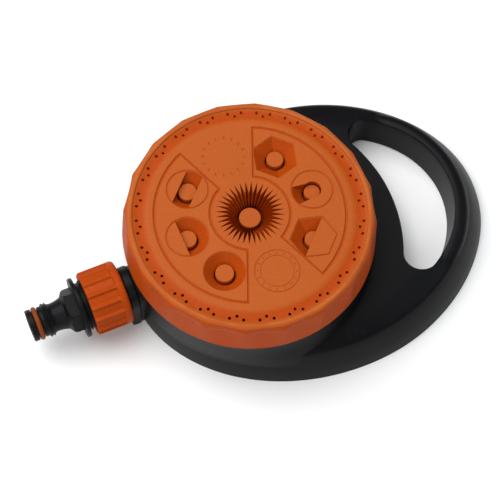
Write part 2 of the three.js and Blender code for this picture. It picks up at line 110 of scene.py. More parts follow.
# Core plate behind the face
PIN_TOP_Z = 56.8
PINS = {45: 4.3, 0: 4.05, -45: 4.3, -135: 4.6, 180: 4.5, 135: 4.6}  # station in degrees: radius
CENTRE_PIN = 5.4
CENTRE_PIN_TOP_Z = 54.1
PLATE_LOW = 41.3
PLATE_HIGH = 43.8
PLATE_RADIUS = core_high.x
STEM_RADIUS = 6.3

# Base
WALL = 2.2
POT_RADIUS = 60.5
POT_BORE = 58
POT_TOP = 38
# Outline of the base: height, reach toward the inlet, reach toward the handle, half width
BASE_RINGS = [
    (0, 62.3, 129.2, 75.4),
    (7, 62, 127, 73.7),
    (14, 61.6, 123.2, 71),
    (18.5, 61.3, 119.8, 68.8),
    (20.2, 61.2, 118, 67.4),
    (21.3, 61, 114, 64.5),
    (22.3, 60.9, 109, 61),
    (23, 60.7, 103, 56),
    (23.3, 60.5, 95, 48),
]
HANDLE_TURN = -1.8  # degrees from +X to the middle of the handle
COLLAR_REACH = 67
GRIP_INNER = 80.5
GRIP_CENTRE = 51.8
GRIP_REACH = 58.2
GRIP_SIDE = 51.8
GRIP_END = Vector((80.6, 36.1))
GRIP_END_RADIUS = 7.8
GRIP_END_TURN = 58.6
GRIP_ELLIPSE_TURN = 55.6
GRIP_DRAFT = 0.9
ROLL_RADIUS = 5.5
ROLL_OFFSET = 2.7
ROLL_Z = 17.6
ROLL_SINK = 3

# Inlet, along -X
INLET_Z = (nut_low.z + nut_high.z) / 2
NUT_START = -nut_high.x
NUT_END = -nut_low.x
NUT_RADIUS = nut_high.y
NUT_FLUTES = 15
TIP_END = -nipple_low.x - SHY
HEXAGON_FLATS = 20


# ---------------------------------------------------------------- making shapes

def curve_through(points, steps):
    """More points, on the smooth curve through the given ones."""
    padded = [points[0], *points, points[-1]]
    fine = []
    for before, start, end, after in zip(padded, padded[1:], padded[2:], padded[3:]):
        for step in range(steps):
            t = step / steps
            fine.append(tuple(
                0.5 * (2 * q + (r - p) * t + (2 * p - 5 * q + 4 * r - s) * t**2 + (3 * q - p - 3 * r + s) * t**3)
                for p, q, r, s in zip(before, start, end, after)))
    return [*fine, points[-1]]


def arc(centre_x, centre_y, radius, start, end, steps):
    """Points on an arc from one direction to another, in degrees."""
    turns = [math.radians(start + (end - start) * i / steps) for i in range(steps + 1)]
    return [(centre_x + radius * math.cos(turn), centre_y + radius * math.sin(turn)) for turn in turns]


def at_height(outline, z):
    return [(x, y, z) for x, y in outline]


def circle(radius, z, sides=64, x=0, y=0):
    return at_height(arc(x, y, radius, 0, 360, sides)[:-1], z)


def merged(bm):
    bmesh.ops.remove_doubles(bm, verts=bm.verts, dist=0.0005)
    bmesh.ops.recalc_face_normals(bm, faces=bm.faces)
    return bm


def turned(profile, steps=120, ring=False):
    """A (radius, height) outline spun round Z. Unless it is a ring, both ends close with a flat face."""
    bm = bmesh.new()
    corners = [bm.verts.new((radius, 0, z)) for radius, z in profile]
    pairs = zip(corners, corners[1:] + corners[:1]) if ring else zip(corners, corners[1:])
    edges = [bm.edges.new(pair) for pair in pairs]
    bmesh.ops.spin(bm, geom=corners + edges, cent=(0, 0, 0), axis=(0, 0, 1),
                   angle=2 * math.pi, steps=steps, use_merge=True)
    if not ring:
        bmesh.ops.holes_fill(bm, edges=[edge for edge in bm.edges if edge.is_boundary], sides=0)
    return merged(bm)


def lofted(*outlines):
    """Closed outlines bridged one to the next, and closed at both ends with a flat face."""
    bm = bmesh.new()
    loops = []
    for outline in outlines:
        corners = [bm.verts.new(point) for point in outline]
        loops.append([bm.edges.new(pair) for pair in zip(corners, corners[1:] + corners[:1])])
    for lower, upper in zip(loops, loops[1:]):
        bmesh.ops.bridge_loops(bm, edges=lower + upper)
    for end in (loops[0], loops[-1]):
        bmesh.ops.contextual_create(bm, geom=end)
    return merged(bm)


def rod(radius, low, high, sides=32, x=0, y=0):
    return lofted(circle(radius, low, sides, x, y), circle(radius, high, sides, x, y))


def block(low, high):
    bm = bmesh.new()
    low, high = Vector(low), Vector(high)
    bmesh.ops.create_cube(bm, size=1)
    bmesh.ops.scale(bm, vec=high - low, verts=bm.verts)
    bmesh.ops.translate(bm, vec=(low + high) / 2, verts=bm.verts)
    return bm


def placed(bm, matrix):
    bmesh.ops.transform(bm, matrix=matrix, verts=bm.verts)
    return bm


def about_axis(degrees, radius=0):
    """Out from the turret's axis by a radius, then round it."""
    return Matrix.Rotation(math.radians(degrees), 4, "Z") @ Matrix.Translation((radius, 0, 0))


def gathered(parts):
    """Separate closed shapes held in one mesh."""
    whole = bmesh.new()
    for part in parts:
        mesh = bpy.data.meshes.new("part")
        part.to_mesh(mesh)
        whole.from_mesh(mesh)
        part.free()
        bpy.data.meshes.remove(mesh)
    return whole


def as_object(bm, name="shape"):
    mesh = bpy.data.meshes.new(name)
    bm.to_mesh(mesh)
    bm.free()
    made = bpy.data.objects.new(name, mesh)
    bpy.context.scene.collection.objects.link(made)
    return made


def combined(body, tool, operation):
    holder, other = as_object(body), as_object(tool)
    modifier = holder.modifiers.new("combine", "BOOLEAN")
    modifier.solver = "MANIFOLD"
    modifier.operation = operation
    modifier.object = other
    result = bmesh.new()
    result.from_object(holder, bpy.context.evaluated_depsgraph_get())
    for used in (holder, other):
        mesh = used.data
        bpy.data.objects.remove(used)
        bpy.data.meshes.remove(mesh)
    return result


def cut(body, *tools):
    for tool in tools:
        body = combined(body, tool, "DIFFERENCE")
    return body


def joined(body, *others):
    for other in others:
        body = combined(body, other, "UNION")
    return body


def kept(body, tool):
    return combined(body, tool, "INTERSECT")


def wire(path, radius, closed=True, thickness=None):
    """A round wire along a path, as a closed mesh; thickness may scale it point by point."""
    curve = bpy.data.curves.new("wire", "CURVE")
    curve.dimensions = "3D"
    curve.bevel_depth = radius
    curve.bevel_resolution = 8 if radius > 2 else 2
    curve.use_fill_caps = not closed
    spline = curve.splines.new("POLY")
    spline.points.add(len(path) - 1)
    spline.use_cyclic_u = closed
    for index, (point, place) in enumerate(zip(spline.points, path)):
        point.co = (*place, 1)
        point.radius = thickness[index] if thickness else 1
    holder = bpy.data.objects.new("wire", curve)
    mesh = bpy.data.meshes.new_from_object(holder)
    bm = bmesh.new()
    bm.from_mesh(mesh)
    bpy.data.objects.remove(holder)
    bpy.data.curves.remove(curve)
    bpy.data.meshes.remove(mesh)
    return merged(bm)


def finished(bm, name, body, finish, replaces=(), crease=38):
    """Turns a shape into a piece in metres, with its finish, on its body."""
    bmesh.ops.scale(bm, vec=(MM, MM, MM), verts=bm.verts)
    bmesh.ops.dissolve_degenerate(bm, edges=bm.edges, dist=1e-7)
    piece = as_object(bm, name)
    piece.data.name = name
    piece.data.materials.append(finish)
    piece.data.shade_smooth()
    piece.data.set_sharp_from_angle(angle=math.radians(crease))
    shading = piece.modifiers.new("even_shading", "WEIGHTED_NORMAL")
    shading.keep_sharp = True
    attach(piece, body)
    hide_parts(*replaces)
    return piece


# ---------------------------------------------------------------- finishes

class Field:
    """A number that varies over a surface. Arithmetic on it adds Math nodes."""

    def __init__(self, finish, socket):
        self.finish = finish
        self.socket = socket

    def math(self, operation, *others):
        inputs = dict(enumerate((self, *others)))
        return self.finish.node("ShaderNodeMath", {"operation": operation}, inputs)

    def __add__(self, other):
        return self.math("ADD", other)

    def __sub__(self, other):
        return self.math("SUBTRACT", other)

    def __rsub__(self, other):
        return self.finish.node("ShaderNodeMath", {"operation": "SUBTRACT"}, {0: other, 1: self})

    def __mul__(self, other):
        return self.math("MULTIPLY", other)

    def __truediv__(self, other):
        return self.math("DIVIDE", other)

    __radd__ = __add__
    __rmul__ = __mul__


class Finish:
    """A material and its node tree."""

    def __init__(self, name, specular=0.5, **shader):
        self.material = bpy.data.materials.new(name)
        self.material.use_nodes = True
        self.tree = self.material.node_tree
        self.shader = self.tree.nodes["Principled BSDF"]
        self.shader.inputs["Specular IOR Level"].default_value = specular
        for socket, value in shader.items():
            self.shader.inputs[socket.replace("_", " ").title()].default_value = value

    def node(self, kind, settings, inputs, output=0):
        """Any node: its settings first, then the values or links of its sockets."""
        node = self.tree.nodes.new(kind)
        for name, value in settings.items():
            setattr(node, name, value)
        for socket, value in inputs.items():
            self.set(node.inputs[socket], value)
        return Field(self, node.outputs[output])

    def set(self, socket, value):
        if isinstance(value, Field):
            self.tree.links.new(value.socket, socket)
        else:
            socket.default_value = value

    def drive(self, **inputs):
        for socket, value in inputs.items():
            self.set(self.shader.inputs[socket.replace("_", " ").title()], value)

    def place(self):
        return self.node("ShaderNodeTexCoord", {}, {}, "Object")

    def noise(self, place, scale, detail=2):
        return self.node("ShaderNodeTexNoise", {}, {"Vector": place, "Scale": scale, "Detail": detail})

    def between(self, value, low, high):
        """0 below low, 1 above high and a soft step from one to the other."""
        settings = {"interpolation_type": "SMOOTHSTEP"}
        return self.node("ShaderNodeMapRange", settings, {"Value": value, "From Min": low, "From Max": high})

    def blend(self, share, first, second):
        return self.node("ShaderNodeMix", {"data_type": "RGBA"}, {0: share, 6: first, 7: second}, 2)

    def bump(self, height, strength, distance):
        return self.node("ShaderNodeBump", {}, {"Height": height, "Strength": strength, "Distance": distance})

    def stretched(self, place, turn, scale):
        """The place turned about Z and stretched, for marks that run one way."""
        inputs = {"Vector": place, "Rotation": (0, 0, math.radians(turn)), "Scale": scale}
        return self.node("ShaderNodeMapping", {}, inputs)


def scratches(finish, place):
    """Hair-fine marks in two directions, broken up into short runs."""
    runs = finish.between(finish.noise(place, 60), 0.5, 0.66)
    marks = None
    for turn in (25, -50):
        lines = finish.noise(finish.stretched(place, turn, (1, 0.03, 0.3)), 1900, 0)
        line = finish.between(lines, 0.69, 0.74)
        marks = line if marks is None else marks.math("MAXIMUM", line)
    return marks * runs


def orange_moulding(name, shade_full_z, shade_free_z):
    """Satin orange plastic. Low down the colour is a painted shade: below the first given height it turns to a
    deeper, more saturated recess colour. This stands in for the shade and orange bounce light in the cones, flutes
    and trough and on the lower sides, and it fades out by the second height. Paler rubbed wear on whatever stands
    above the turret's face.
    """
    finish = Finish(name, specular=0.07)
    place = finish.place()
    drift = finish.noise(place, 28, 3)
    speck = finish.noise(place, 1500, 2)
    grain = finish.noise(place, 2600, 3)
    ripple = finish.noise(place, 90, 2)
    parts = finish.node("ShaderNodeSeparateXYZ", {}, {0: place}, "Z")
    rubbed = finish.between(parts, FACE_Z * MM + 0.0002, RIM_Z * MM) * finish.between(ripple, 0.35, 0.7)
    face = finish.blend(drift, ORANGE_DEEP, ORANGE_LIGHT)
    # Painted shade: the deeper recess colour below the first height, fading into the face colour by the second.
    colour = finish.blend(finish.between(parts, shade_full_z * MM, shade_free_z * MM), ORANGE_RECESS_SHADE, face)
    colour = finish.blend(finish.between(speck, 0.52, 0.75) * 0.22, colour, ORANGE_PALE)
    colour = finish.blend(rubbed * 0.25, colour, ORANGE_PALE)
    marks = scratches(finish, place)
    colour = finish.blend(marks * 0.10, colour, ORANGE_PALE)
    finish.drive(
        base_color=colour,
        roughness=0.5 + (drift - 0.5) * 0.12 + (speck - 0.5) * 0.1 - rubbed * 0.08,
        normal=finish.bump(grain + ripple * 0.4 - marks * 0.5, 0.32, 0.00012),
    )
    return finish.material


def black_moulding(name, roughness=0.4):
    """Satin black plastic: faint flow marks, fine grain, scattered patches of dust and hair scratches."""
    finish = Finish(name, specular=0.1)
    place = finish.place()
    drift = finish.noise(place, 22, 3)
    speck = finish.noise(place, 1700, 2)
    grain = finish.noise(place, 2400, 3)
    ripple = finish.noise(place, 60, 2)
    dust = finish.between(finish.noise(place, 420, 4), 0.62, 0.8)
    marks = scratches(finish, place)
    colour = finish.blend(drift, BLACK_DEEP, BLACK_LIGHT)
    colour = finish.blend(finish.between(speck, 0.5, 0.8) * 0.3, colour, BLACK_PALE)
    colour = finish.blend(dust * 0.04, colour, DUST)
    colour = finish.blend(marks * 0.05, colour, DUST)
    finish.drive(
        base_color=colour,
        roughness=roughness + (drift - 0.5) * 0.14 + (speck - 0.5) * 0.12 + dust * 0.12 + marks * 0.08,
        normal=finish.bump(grain + ripple * 0.5 - marks * 0.5, 0.3, 0.0001),
    )
    return finish.material


def rubber(name, deep, light):
    """Smooth moulded rubber with a dull bloom."""
    finish = Finish(name, specular=0.2)
    place = finish.place()
    bloom = finish.noise(place, 130, 4)
    grain = finish.noise(place, 3000, 2)
    finish.drive(
        base_color=finish.blend(bloom, deep, light),
        roughness=0.55 + (bloom - 0.5) * 0.25,
        normal=finish.bump(grain, 0.2, 0.00008),
    )
    return finish.material


def drawn_steel(name):
    """Zinc-plated steel: fine drawing lines and cloudy plating."""
    finish = Finish(name)
    place = finish.place()
    cloud = finish.noise(place, 160, 4)
    lines = finish.noise(finish.stretched(place, 0, (1, 1, 30)), 500, 2)
    finish.drive(
        base_color=finish.blend(cloud, (0.42, 0.42, 0.43, 1), (0.66, 0.66, 0.65, 1)),
        metallic=0.9 + cloud * 0.1,
        roughness=0.26 + cloud * 0.18,
        normal=finish.bump(lines, 0.15, 0.00005),
    )
    return finish.material


# The first colour below is a painted shade: a deeper, more saturated orange that stands in for shade and bounce
# light low on the cap, on the core plate and on the nut.
ORANGE_RECESS_SHADE = (0.37, 0.047, 0.0015, 1)
ORANGE_DEEP = (0.375, 0.076, 0.011, 1)
ORANGE_LIGHT = (0.415, 0.087, 0.015, 1)
ORANGE_PALE = (0.58, 0.17, 0.04, 1)
BLACK_DEEP = (0.0028, 0.0029, 0.0036, 1)
BLACK_LIGHT = (0.0045, 0.0046, 0.0056, 1)
BLACK_PALE = (0.010, 0.010, 0.011, 1)
DUST = (0.11, 0.105, 0.10, 1)

# The two heights bound each moulding's painted recess shade. The cap's shade fills everything below its face. The
# core plate's fills everything just under the centre pin's top. The nut lies wholly below its own, so it is painted
# shade all over.
orange = orange_moulding("orange_cap_plastic", FACE_Z - 0.8, FACE_Z - 0.05)
orange_core = orange_moulding("orange_core_plastic", CENTRE_PIN_TOP_Z - 0.6, CENTRE_PIN_TOP_Z - 0.1)
orange_nut = orange_moulding("orange_nut_plastic", INLET_Z + NUT_RADIUS, INLET_Z + NUT_RADIUS + 8)
black = black_moulding("black_moulded_plastic")
seal_orange = rubber("orange_seal_rubber", (0.17, 0.032, 0.003, 1), (0.22, 0.045, 0.005, 1))
seal_black = rubber("black_seal_rubber", (0.010, 0.010, 0.010, 1), (0.022, 0.021, 0.021, 1))
steel = drawn_steel("plated_steel")


# ---------------------------------------------------------------- turret

def scalloped(bm):
    """Presses the finger scallops into the side: deepest below the shoulder, none at rim and hem."""
    pitch = 360 / SCALLOPS
    for vert in bm.verts:
        radius = math.hypot(vert.co.x, vert.co.y)
        z = vert.co.z
        if radius < 59.6 or z < SKIRT_Z + 1 or (radius < 61 and z < 50):
            continue
        turn = math.degrees(math.atan2(vert.co.y, vert.co.x)) - SCALLOP_TURN
        across = abs((turn / pitch + 0.5) % 1 - 0.5) * 2
        if z > SCALLOP_MIDDLE_Z:
            fade = (RIM_Z - z) / (RIM_Z - SCALLOP_MIDDLE_Z)
        else:
            fade = (z - SKIRT_Z) / (SCALLOP_MIDDLE_Z - SKIRT_Z)
        depth = SCALLOP_DEPTH * fade**0.8 * (1 - across**1.8)
        factor = 1 - depth / radius
        vert.co.x *= factor
        vert.co.y *= factor
    return bm


def cap_form():
    """The cap before its openings: boss underneath, chamber, hem, side, rolled rim, trough and face."""
    underside = FACE_Z - FACE_THICKNESS
    inside = [(BOSS_RADIUS - 1, FLUTE_FLOOR_Z - 1.6), (BOSS_RADIUS - 1, underside), (58.4, underside),
              (58.4, 46), (60.4, 44.5), (60.4, SKIRT_Z)]
    hem = arc(SKIRT_RADIUS - 0.5 - SHY, SKIRT_Z + 0.5, 0.5, -90, 0, 4)
    side = curve_through([(63.15, 41), (62.85, 47), (62.55, 51.5), (62.35, 54.4), (62.0, 56.6),
                          (61.1, 58.6), (60.0, 59.75), (58.9, RIM_Z), (58.0, RIM_Z - 0.12),
                          (57.5, RIM_Z - 0.5)], 4)
    step = [(57.38, RIM_Z - 0.95), (57.15, RIM_Z - 1)]
    trough = curve_through([(56.9, FACE_Z - 0.34), (56.0, FACE_Z - 0.64), (54.6, TROUGH_Z), (53.0, TROUGH_Z + 0.08),
                            (51.6, FACE_Z - 0.4), (50.0, FACE_Z - 0.06), (49.4, FACE_Z)], 3)
    form = scalloped(turned(inside + hem + side + step + trough, steps=360))
    bosses = [placed(rod(NOZZLE_BOSS, NOZZLE_BOSS_Z, underside + 1, 48), about_axis(turn, STATION_RADIUS))
              for turn in NOZZLES]
    return joined(form, gathered(bosses))


def funnel(mouth, sides, turn=0):
    """A sunk cone with a softened lip, over a throat that opens into the chamber."""
    profile = [(THROAT, FACE_Z - NOZZLE_DEPTH - 2), (THROAT, FACE_Z - NOZZLE_DEPTH),
               (mouth, FACE_Z - LIP), (mouth + 2 * LIP, FACE_Z + LIP)]
    shape = turned(profile, steps=sides)
    return placed(shape, Matrix.Rotation(math.radians(turn), 4, "Z"))


def prism(outline, low=FACE_Z - 12, high=FACE_Z + 4):
    return lofted(at_height(outline, low), at_height(outline, high))


def slab(low_x, high_x):
    return prism([(low_x, -15), (high_x, -15), (high_x, 15), (low_x, 15)])


# Each nozzle is drawn round its own middle, with +X pointing away from the turret's axis.

def hexagon_nozzle():
    return funnel(HEXAGON_MOUTH, 6, 30)


def wedge_nozzle():
    mouth = [(0, -3.9), (0, 3.9), (-13, 5.5), (-13, -5.5)]
    return kept(funnel(ROUND_MOUTH, 96), joined(prism(mouth), rod(PINS[0] + 0.35, FACE_Z - 12, FACE_Z + 4, 48)))


def half_hexagon_nozzle():
    return kept(hexagon_nozzle(), slab(-15, 0))


def full_circle_nozzle():
    return funnel(ROUND_MOUTH, 96)


def half_circle_nozzle():
    return kept(funnel(ROUND_MOUTH, 96), slab(-15, 2.6))


def strip_nozzle():
    return kept(funnel(ROUND_MOUTH, 96), slab(-4.3, 4.3))


NOZZLES = {45: hexagon_nozzle, 0: wedge_nozzle, -45: half_hexagon_nozzle,
           -135: full_circle_nozzle, 180: half_circle_nozzle, 135: strip_nozzle}


def flower():
    """The fluted funnel in the middle: V-shaped flutes that reach out along the face."""
    def star(notch, tip, z):
        turns = [math.radians(FLUTE_TURN + i * 180 / FLUTES) for i in range(2 * FLUTES)]
        radii = [notch if i % 2 else tip for i in range(2 * FLUTES)]
        return [(r * math.cos(turn), r * math.sin(turn), z) for r, turn in zip(radii, turns)]

    rise = FACE_Z - FLUTE_FLOOR_Z
    notch_slope = (FLUTE_NOTCH - FLUTE_THROAT) / rise
    tip_slope = (FLUTE_TIP - FLUTE_THROAT_TIP) / rise
    above = 0.6
    return lofted(
        star(FLUTE_THROAT, FLUTE_THROAT_TIP, FLUTE_FLOOR_Z - 4),
        star(FLUTE_THROAT, FLUTE_THROAT_TIP, FLUTE_FLOOR_Z),
        star(FLUTE_NOTCH + notch_slope * above, FLUTE_TIP + tip_slope * above, FACE_Z + above),
    )


def sector_outline():
    """The soft line round each group of three nozzles, drawn about the +X direction."""
    half = math.radians(SECTOR_HALF_TURN)
    corners = []
    for radius in (SECTOR_OUTER, SECTOR_INNER):
        turn = math.degrees(half - math.asin(SECTOR_INSET / radius))
        corners.append(turn)
    outer, inner = corners
    return arc(0, 0, SECTOR_OUTER, -outer, outer, 72) + arc(0, 0, SECTOR_INNER, inner, -inner, 36)


def groove(outline, width, depth):
    """A round wire that presses a groove of this width and depth into the face."""
    radius = (width**2 / 4 + depth**2) / (2 * depth)
    return wire(at_height(outline, FACE_Z - depth + radius), radius)


def face_grooves():
    """Lines in the face: two sectors, and the outlines of the partly filled nozzles and pictures."""
    grooves = []
    for turn in (0, 180):
        grooves.append(placed(groove(sector_outline(), 1.45, 0.7), about_axis(turn)))
    rings = [(0, 10.2, 1.0), (135, 10.2, 1.0), (180, 10.2, 1.0), (-90, 8.1, 0.55), (-90, 10.9, 0.7)]
    for turn, radius, width in rings:
        ring = groove(arc(0, 0, radius, 0, 360, 96)[:-1], width, width / 2)
        grooves.append(placed(ring, about_axis(turn, STATION_RADIUS)))
    hexagon = arc(0, 0, HEXAGON_MOUTH - 0.2, 30, 390, 6)[:-1]
    grooves.append(placed(groove(hexagon, 1.0, 0.5), about_axis(-45, STATION_RADIUS)))
    return grooves


def spray_holes():
    holes = []
    for group in range(SPRAY_GROUPS):
        turn = group * 360 / SPRAY_GROUPS
        for aside, radius in ((0, SPRAY_RADIUS), (SPRAY_SPREAD, SPRAY_RADIUS + 1.6), (-SPRAY_SPREAD, SPRAY_RADIUS + 1.6)):
            hole = placed(rod(SPRAY_HOLE, -6, 2.2, 12), Matrix.Rotation(math.radians(SPRAY_TILT), 4, "Y"))
            holes.append(placed(hole, about_axis(turn + aside, radius) @ Matrix.Translation((0, 0, TROUGH_Z))))
    return gathered(holes)


def picture_marks():
    """Small dimples in two rings of sixteen: round dots, and petals that point outward."""
    marks = []
    for index in range(16):
        turn = Matrix.Rotation(math.radians(index * 22.5), 4, "Z")
        for station, radius, size in ((-90, 9.5, (0.55, 0.55, 0.4)), (90, 10.3, (1.15, 0.55, 0.42))):
            mark = bmesh.new()
            bmesh.ops.create_icosphere(mark, subdivisions=2, radius=1)
            bmesh.ops.scale(mark, vec=size, verts=mark.verts)
            place = about_axis(station, STATION_RADIUS) @ turn @ Matrix.Translation((radius, 0, FACE_Z + 0.05))
            marks.append(placed(mark, place))
    return gathered(marks)


def turret_cap():
    cap = cut(cap_form(), *face_grooves())
    for station, nozzle in NOZZLES.items():
        cap = cut(cap, placed(nozzle(), about_axis(station, STATION_RADIUS)))
        room = rod(PINS[station] + PIN_GAP, NOZZLE_BOSS_Z - 1, PIN_TOP_Z + 0.4, 48)
        cap = cut(cap, placed(room, about_axis(station, STATION_RADIUS)))
    cap = cut(cap, flower(), spray_holes(), picture_marks())
    return finished(cap, "turret_cap_fine", "turret", orange, ["turret_cap"])


def pin(radius, top, low):
    """A moulded pin with a rounded top edge."""
    edge = arc(radius - 0.45, top - 0.45, 0.45, 0, 90, 4)
    return turned([(radius, low), *edge], steps=48)


def core_plate():
    """The plate that closes the chambers: rings and ribs between them, pins, ports and the hollow stem."""
    rib_top = FACE_Z - FACE_THICKNESS - 0.3
    rib = 1.6
    inner_ring, outer_ring = 19, 47.6
    top_edge = arc(CENTRE_PIN - 0.5, CENTRE_PIN_TOP_Z - 0.5, 0.5, 0, 90, 4)
    plate = turned([(STEM_RADIUS, core_low.z), (STEM_RADIUS, PLATE_LOW), (PLATE_RADIUS, PLATE_LOW),
                    (PLATE_RADIUS, PLATE_HIGH), (CENTRE_PIN, PLATE_HIGH), *top_edge], steps=144)
    low = PLATE_HIGH - 1
    for outer in (inner_ring, outer_ring):
        ring = [(outer, low), (outer, rib_top), (outer - rib, rib_top), (outer - rib, low)]
        plate = joined(plate, turned(ring, steps=120, ring=True))
    for index in range(8):
        wall = block((inner_ring - rib / 2, -rib / 2, low), (outer_ring - rib / 2, rib / 2, rib_top))
        plate = joined(plate, placed(wall, about_axis(22.5 + 45 * index)))
    for station, radius in PINS.items():
        plate = joined(plate, placed(pin(radius, PIN_TOP_Z, low), about_axis(station, STATION_RADIUS)))
    ports = [placed(rod(3.5, PLATE_LOW - 1, PLATE_HIGH + 1, 24), about_axis(45 * i, 24)) for i in range(8)]
    plate = cut(plate, gathered(ports), rod(1.8, core_low.z - 1, 36, 24))
    return finished(plate, "core_plate_fine", "turret", orange_core, ["core_plate"])


turret_cap()
core_plate()


# ---------------------------------------------------------------- base

def base_outline(ring, sides=160):
    """One ring of the base, a little narrower than an ellipse toward the handle."""
    z, inlet, handle, side = ring
    middle, reach = (handle - inlet) / 2, (handle + inlet) / 2
    outline = []
    for turn in (2 * math.pi * i / sides for i in range(sides)):
        x = middle + reach * math.cos(turn)
        ahead = min(max((x - 50) / 70, 0), 1)
        outline.append((x, side * math.sin(turn) * (1 - 0.045 * ahead * ahead), z))
    return outline


def grip_outline(grow, z):
    """The crescent that the fingers go through, grown outward."""
    turn = math.degrees(math.atan2(GRIP_END.y, GRIP_END.x))
    radius = GRIP_END_RADIUS + grow
    inner = arc(0, 0, GRIP_INNER - grow, turn, -turn, 40)
    right = arc(GRIP_END.x, -GRIP_END.y, radius, 180 - turn, 360 - GRIP_END_TURN, 16)
    outer = arc(0, 0, 1, -GRIP_ELLIPSE_TURN, GRIP_ELLIPSE_TURN, 56)
    outer = [(GRIP_CENTRE + (GRIP_REACH + grow) * x, (GRIP_SIDE + grow) * y) for x, y in outer]
    left = arc(GRIP_END.x, GRIP_END.y, radius, GRIP_END_TURN, 180 + turn, 16)
    return at_height(inner[:-1] + right[:-1] + outer[:-1] + left[:-1], z)


def deck_rings():
    """The skirt's rings, a crisp edge, then the gently crowned deck."""
    return curve_through(BASE_RINGS, 4)


def collar():
    """The pot's foot, flared out to meet the skirt wherever the skirt comes close."""
    rings = []
    for z, share in ((0, 1), (14, 1), (18, 0.85), (22, 0.6), (26, 0.33), (30, 0.12), (34, 0)):
        ring = []
        for x, y, _ in base_outline(BASE_RINGS[2]):
            skirt = math.hypot(x, y)
            reach = POT_RADIUS + (min(skirt, COLLAR_REACH) - POT_RADIUS) * share
            ring.append((x * reach / skirt, y * reach / skirt, z))
        rings.append(ring)
    return lofted(*rings)


def outer_form():
    """Skirt, deck, handle and flared foot, turned to the handle's direction, with the pot on top."""
    skirt = lofted(*[base_outline(ring) for ring in deck_rings()])
    form = placed(joined(skirt, collar()), about_axis(HANDLE_TURN))
    rim = arc(POT_RADIUS - 0.6, POT_TOP - 0.6, 0.6, 0, 90, 4)
    return joined(form, turned([(POT_RADIUS, 0), *rim], steps=160))


def inlet_arch():
    """The arch on the front that the inlet pipe comes out of, with rounded front edges."""
    def section(x, inset):
        radius, foot = 11.8 - inset, 11 - inset
        top = arc(0, INLET_Z, radius, 0, 180, 32)
        return [(x, y, z) for y, z in [(foot, 0), *top, (-foot, 0)]]

    front = -NUT_START + 0.3
    return lofted(section(front, 0.9), section(front + 0.35, 0.3), section(front + 1, 0), section(front + 4.2, 0),
                  section(front + 5, 0.7), section(-56, 0.7))


def grip_roll():
    """The broad raised roll along the outer edge of the opening, sinking into the deck at both ends."""
    steps = 72
    reach = GRIP_DRAFT + ROLL_OFFSET
    path, thickness = [], []
    for share in (2 * i / steps - 1 for i in range(steps + 1)):
        turn = math.radians(GRIP_ELLIPSE_TURN * 1.12 * share)
        sink = ROLL_SINK * abs(share)**6
        path.append(((GRIP_CENTRE + (GRIP_REACH + reach) * math.cos(turn)),
                     (GRIP_SIDE + reach) * math.sin(turn), ROLL_Z - sink))
        thickness.append(1 - 0.3 * abs(share)**6)
    roll = wire(path, ROLL_RADIUS, closed=False, thickness=thickness)
    return placed(roll, about_axis(HANDLE_TURN))


def grip_cutter():
    """The opening's own shape, opening upward with the mould's draft, with a softened edge at the foot."""
    levels = [(-2, 1.2), (0.4, 0.5), (1.2, 0), (17, GRIP_DRAFT), (20.5, GRIP_DRAFT + 0.05),
              (22.4, GRIP_DRAFT + 0.4), (23.4, GRIP_DRAFT + 1.1), (25, GRIP_DRAFT + 2.6)]
    return placed(lofted(*[grip_outline(grow, z) for z, grow in levels]), about_axis(HANDLE_TURN))


def bosses():
    """Hub, port seat, click-pin guide and screw posts under the pot's floor."""
    posts = [rod(10.5, 31, POT_TOP, 40), rod(10, 30.8, POT_TOP, 40, x=-24), rod(5, 22, POT_TOP, 28, y=38)]
    for index in range(4):
        posts.append(placed(rod(4, 3.3, POT_TOP, 24), about_axis(45 + 90 * index, 48)))
    return posts


def hollow():
    """The space under the shell: the pot's inside, and the skirt's round it."""
    rings = [(z - WALL, inlet - WALL, handle - WALL, side - WALL) for z, inlet, handle, side in BASE_RINGS]
    space = lofted(*[base_outline(ring) for ring in rings])
    space = cut(space, lofted(grip_outline(WALL, -4), grip_outline(WALL + GRIP_DRAFT, POT_TOP)))
    space = cut(placed(space, about_axis(HANDLE_TURN)), rod(POT_RADIUS, -4, POT_TOP, 160))
    pot = cut(rod(POT_BORE, -1, POT_TOP - 3, 160), *bosses())
    return joined(space, pot)


def base_shell():
    shell = joined(outer_form(), inlet_arch(), grip_roll())
    shell = cut(shell, grip_cutter(), hollow())
    bores = [rod(STEM_RADIUS + 0.3, 30, POT_TOP + 1, 40), rod(7.2, 29.8, 33.9, 40, x=-24),
             rod(5.2, 29.8, POT_TOP + 1, 40, x=-24), rod(7.2, 34.9, POT_TOP + 1, 40, x=-24),
             rod(2.8, 24, POT_TOP + 1, 28, y=38)]
    pipe = placed(rod(9.3, 53, NUT_START + 1, 48), Matrix.Translation((0, 0, INLET_Z)) @ Matrix.Rotation(-math.pi / 2, 4, "Y"))
    pilots = gathered([placed(rod(1.7, 2, 16, 16), about_axis(45 + 90 * i, 48)) for i in range(4)])
    shell = cut(shell, *bores, pipe, pilots)
    return finished(shell, "base_shell_fine", "base", black, ["base_shell"], crease=32)


def bottom_cover():
    """The plate that closes the pot: a bevelled rim, a ring rib and four countersunk screw holes."""
    radius = cover_high.x
    top = cover_high.z
    edge = arc(radius - 0.5, 0.5, 0.5, -90, 0, 3)
    shallow = [(20, 0.5), (20.4, 0.1), (23.6, 0.1), (24, 0.5), (38, 0.5), (38.5, SHY)]
    cover = turned([*shallow, *edge, (radius, top)], steps=144)
    holes = []
    for index in range(4):
        hole = turned([(3.4, -1), (3.4, 2.1), (1.8, 2.2), (1.8, top + 1)], steps=32)
        holes.append(placed(hole, about_axis(45 + 90 * index, 48)))
    cover = cut(cover, gathered(holes))
    return finished(cover, "bottom_cover_fine", "base", black, ["bottom_cover"])


